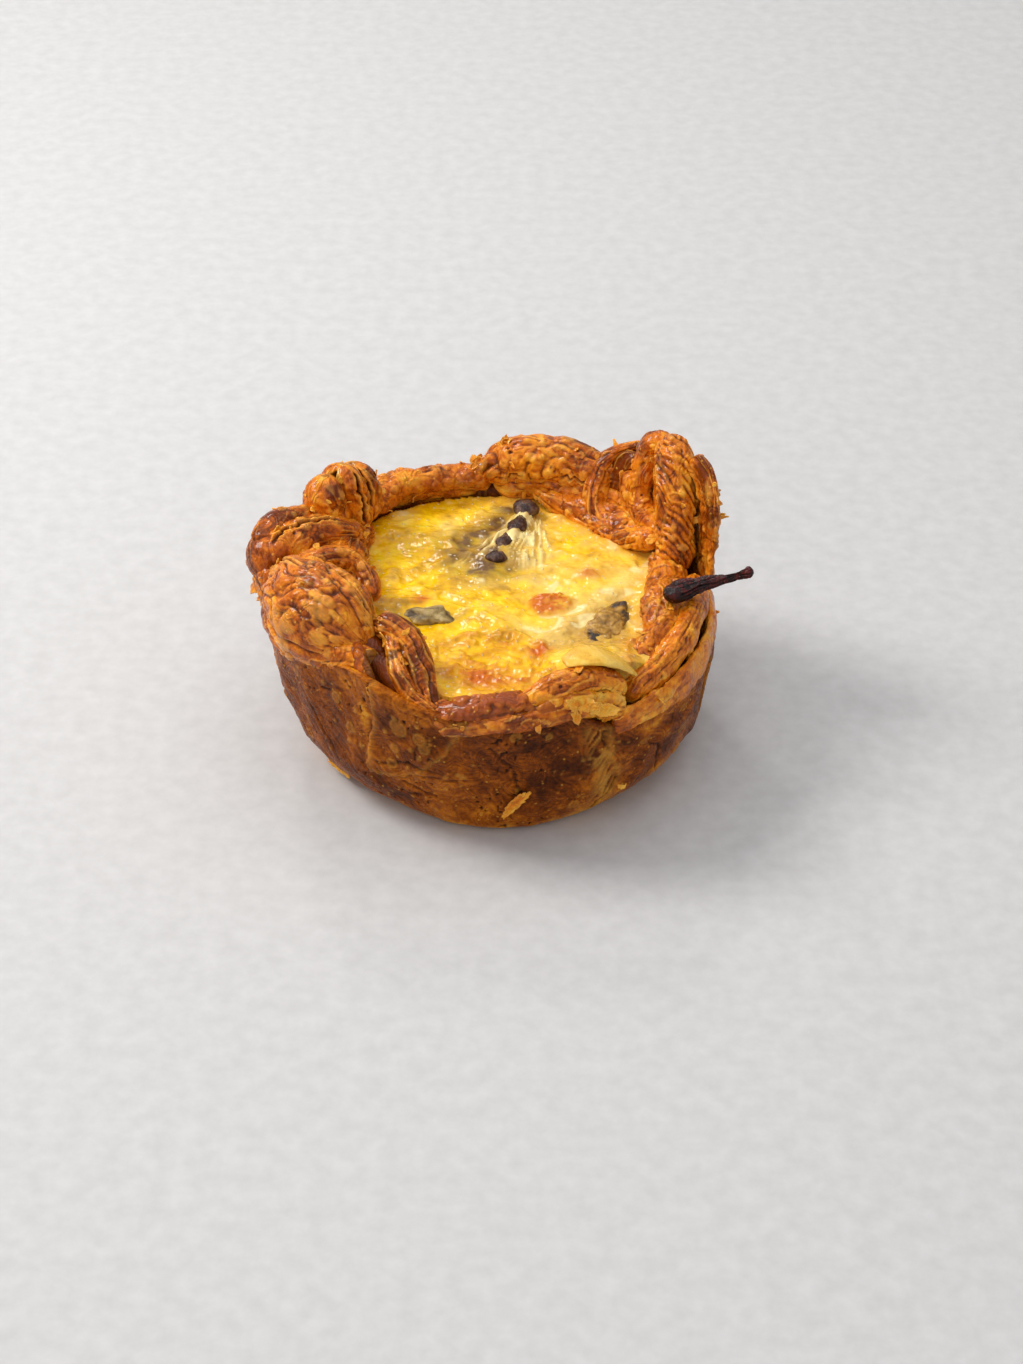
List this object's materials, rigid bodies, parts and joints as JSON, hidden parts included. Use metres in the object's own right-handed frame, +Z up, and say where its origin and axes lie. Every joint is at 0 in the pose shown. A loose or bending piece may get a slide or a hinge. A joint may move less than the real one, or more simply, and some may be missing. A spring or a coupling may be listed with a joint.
{
  "type": "quiche",
  "caption": "Small round quiche: a set custard with mushroom and onion in a tall case of folded, flaky laminated pastry.",
  "frame": {"origin": "middle of the flat underside, on the axis of the round case", "axes": "+Z up, out of the custard; -Y towards the low front of the rim; +X towards the stalk on the rim"},
  "size_m": [0.1016, 0.0918, 0.0567],
  "materials": {
    "baked_pastry": "matte brown crust with glossy egg-washed ridges",
    "custard": "moist, lightly glossy",
    "pale_mushroom": "moist",
    "brown_mushroom": "moist",
    "dark_mushroom": "moist",
    "onion": "moist, slightly see-through",
    "dried_stalk": "wrinkled, with a slight sheen"
  },
  "bodies": {
    "root": {"crust": "baked_pastry", "custard": "custard", "mushroom_left": "pale_mushroom", "mushroom_right": "brown_mushroom", "mushroom_back": "dark_mushroom", "onion_slice": "onion", "stalk": "dried_stalk"}
  },
  "joints": []
}
